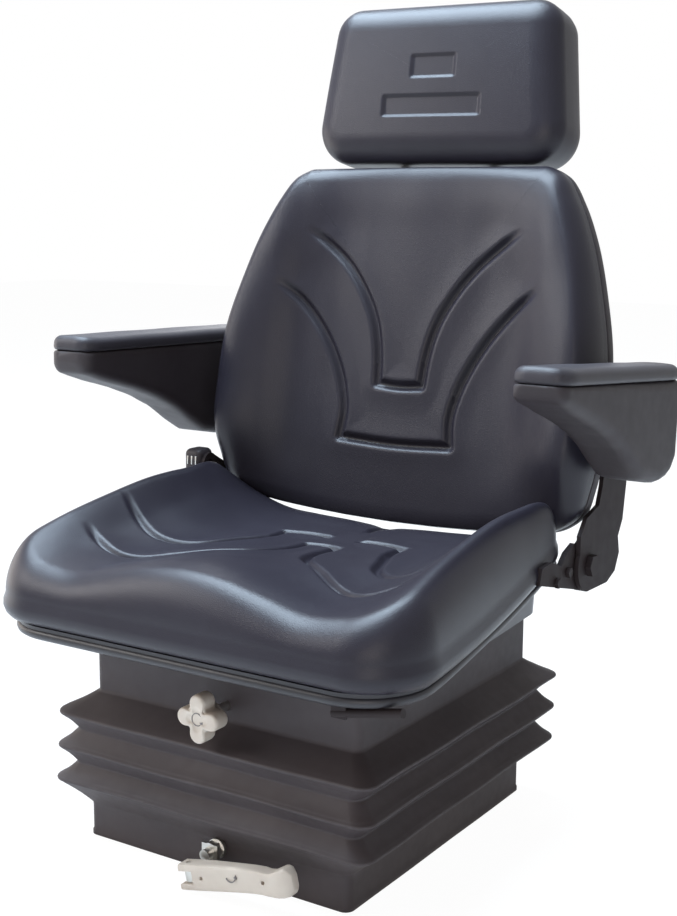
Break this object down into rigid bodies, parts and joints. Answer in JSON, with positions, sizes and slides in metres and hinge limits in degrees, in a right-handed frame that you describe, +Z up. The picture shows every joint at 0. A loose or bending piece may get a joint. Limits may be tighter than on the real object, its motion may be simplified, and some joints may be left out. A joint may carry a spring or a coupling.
{
  "type": "tractor suspension seat",
  "caption": "Sprung vehicle seat: padded cushion, winged backrest, headrest and folding armrests on a scissor suspension inside rubber bellows, with slide, recline and weight adjusters.",
  "frame": {"origin": "centre of the four base bolt holes, on the underside of the base tray", "axes": "+Z up, -Y the way the occupant faces, +X the occupant's left"},
  "size_m": [0.646, 0.5996, 0.9186],
  "materials": {
    "vinyl": "satin moulded vinyl skin",
    "arm_pad": "satin skinned foam",
    "arm_plastic": "grained moulding",
    "bellows_rubber": "matte",
    "grey_plastic": "satin",
    "black_steel": "powder coat",
    "zinc_steel": "zinc plated",
    "chrome": "polished",
    "nylon": "natural nylon"
  },
  "bodies": {
    "base": {"base_tray": "black_steel", "base_channel_left": "black_steel", "base_channel_right": "black_steel", "lower_pivot_pins": "zinc_steel", "bump_stops": "bellows_rubber", "damper_lower_clevis": "black_steel", "spindle_bearing": "black_steel", "bellows": "bellows_rubber"},
    "upper": {"upper_frame": "black_steel", "upper_channel_left": "black_steel", "upper_channel_right": "black_steel", "upper_pivot_pins": "zinc_steel", "damper_upper_clevis": "black_steel", "lower_rail_left": "zinc_steel", "lower_rail_right": "zinc_steel"},
    "outer_arms": {"outer_arm_left": "black_steel", "outer_arm_right": "black_steel", "outer_axle": "zinc_steel", "centre_pins": "zinc_steel"},
    "inner_arms": {"inner_arm_left": "black_steel", "inner_arm_right": "black_steel", "inner_axle": "zinc_steel"},
    "lower_rollers": {"lower_rollers": "nylon"},
    "upper_rollers": {"upper_rollers": "nylon"},
    "damper_tube": {"damper_tube": "black_steel"},
    "damper_rod": {"damper_rod": "zinc_steel"},
    "adjuster": {"weight_spindle": "zinc_steel", "crank_plate": "zinc_steel", "handle_pin": "zinc_steel"},
    "carriage": {"spring_carriage": "black_steel", "tension_spring_left": "zinc_steel", "tension_spring_right": "zinc_steel"},
    "handle": {"weight_handle": "grey_plastic"},
    "star_knob": {"star_knob": "grey_plastic", "knob_shaft": "zinc_steel"},
    "seat": {"upper_rail_left": "zinc_steel", "upper_rail_right": "zinc_steel", "lever_pin": "zinc_steel", "seat_pan": "black_steel", "seat_cushion": "vinyl", "hinge_bracket_left": "black_steel", "hinge_bracket_right": "black_steel", "bracket_bolts": "zinc_steel", "hinge_pins": "zinc_steel"},
    "slide_lever": {"slide_lever": "black_steel"},
    "back": {"back_arm_left": "black_steel", "back_arm_right": "black_steel", "backrest_cushion": "vinyl", "backrest_shell": "arm_plastic", "shell_bolts": "zinc_steel", "headrest_guides": "black_steel", "armrest_bolt_left": "zinc_steel", "armrest_bolt_right": "zinc_steel"},
    "headrest": {"headrest_posts": "chrome", "headrest_cushion": "vinyl"},
    "armrest_left": {"armrest_body_left": "arm_plastic", "armrest_pad_left": "arm_pad"},
    "armrest_right": {"armrest_body_right": "arm_plastic", "armrest_pad_right": "arm_pad"},
    "recliner": {"recliner_knob": "arm_plastic"}
  },
  "joints": [
    {"name": "suspension", "type": "slide", "parent": "base", "child": "upper", "axis": [0, 0, 1], "range_m": [-0.08, 0], "stiffness_N_per_m": 5000, "springref_m": 0.1, "deforming": ["bellows", "tension_spring_left", "tension_spring_right"]},
    {"name": "outer_arm_pivot", "type": "hinge", "parent": "base", "child": "outer_arms", "pos_m": [0, -0.145, 0.021], "axis": [1, 0, 0], "range_deg": [-18, 0]},
    {"name": "inner_arm_pivot", "type": "hinge", "parent": "upper", "child": "inner_arms", "pos_m": [0, -0.145, 0.181], "axis": [1, 0, 0], "range_deg": [0, 18]},
    {"name": "lower_roller_spin", "type": "hinge", "parent": "inner_arms", "child": "lower_rollers", "pos_m": [0, 0.09687, 0.021], "axis": [1, 0, 0], "continuous": true},
    {"name": "upper_roller_spin", "type": "hinge", "parent": "outer_arms", "child": "upper_rollers", "pos_m": [0, 0.09687, 0.181], "axis": [1, 0, 0], "continuous": true},
    {"name": "damper_low_pivot", "type": "hinge", "parent": "base", "child": "damper_tube", "pos_m": [0.08, -0.13, 0.026], "axis": [1, 0, 0], "range_deg": [-17.8, 0]},
    {"name": "damper_high_pivot", "type": "hinge", "parent": "upper", "child": "damper_rod", "pos_m": [0.08, 0.06, 0.178], "axis": [1, 0, 0], "range_deg": [-17.8, 0]},
    {"name": "ratchet_swing", "type": "hinge", "parent": "base", "child": "adjuster", "pos_m": [0.01, -0.19, 0.031], "axis": [0, -1, 0], "range_deg": [0, 25]},
    {"name": "spring_preload", "type": "slide", "parent": "base", "child": "carriage", "axis": [0, -1, 0], "range_m": [0, 0.012]},
    {"name": "handle_fold", "type": "hinge", "parent": "adjuster", "child": "handle", "pos_m": [0.008, -0.23, 0.0175], "axis": [0.2164, 0, -0.9763], "range_deg": [0, 90]},
    {"name": "height_knob_turn", "type": "hinge", "parent": "upper", "child": "star_knob", "pos_m": [0.01, -0.215, 0.178], "axis": [0, -1, 0], "continuous": true},
    {"name": "fore_aft", "type": "slide", "parent": "upper", "child": "seat", "axis": [0, 1, 0], "range_m": [-0.075, 0.075]},
    {"name": "slide_release", "type": "hinge", "parent": "seat", "child": "slide_lever", "pos_m": [0.15, -0.06, 0.234], "axis": [0, 0, 1], "range_deg": [0, 8], "stiffness_Nm_per_rad": 3, "springref_deg": -8.59},
    {"name": "recline", "type": "hinge", "parent": "seat", "child": "back", "pos_m": [0, 0.176, 0.288], "axis": [1, 0, 0], "range_deg": [-20, 4]},
    {"name": "headrest_height", "type": "slide", "parent": "back", "child": "headrest", "axis": [0, 0.1908, 0.9816], "range_m": [0, 0.06]},
    {"name": "armrest_left_fold", "type": "hinge", "parent": "back", "child": "armrest_left", "pos_m": [0.293, 0.241, 0.44], "axis": [-1, 0, 0], "range_deg": [0, 95]},
    {"name": "armrest_right_fold", "type": "hinge", "parent": "back", "child": "armrest_right", "pos_m": [-0.293, 0.241, 0.44], "axis": [-1, 0, 0], "range_deg": [0, 95]},
    {"name": "recliner_turn", "type": "hinge", "parent": "back", "child": "recliner", "pos_m": [-0.26, 0.132, 0.36], "axis": [1, 0, 0], "continuous": true}
  ],
  "couplings": [
    {"joint": "outer_arm_pivot", "follows": "suspension", "rad_per_m": 3.8485},
    {"joint": "inner_arm_pivot", "follows": "suspension", "rad_per_m": -3.8485},
    {"joint": "damper_low_pivot", "follows": "suspension", "rad_per_m": 3.7961},
    {"joint": "damper_high_pivot", "follows": "suspension", "rad_per_m": 3.7961}
  ]
}
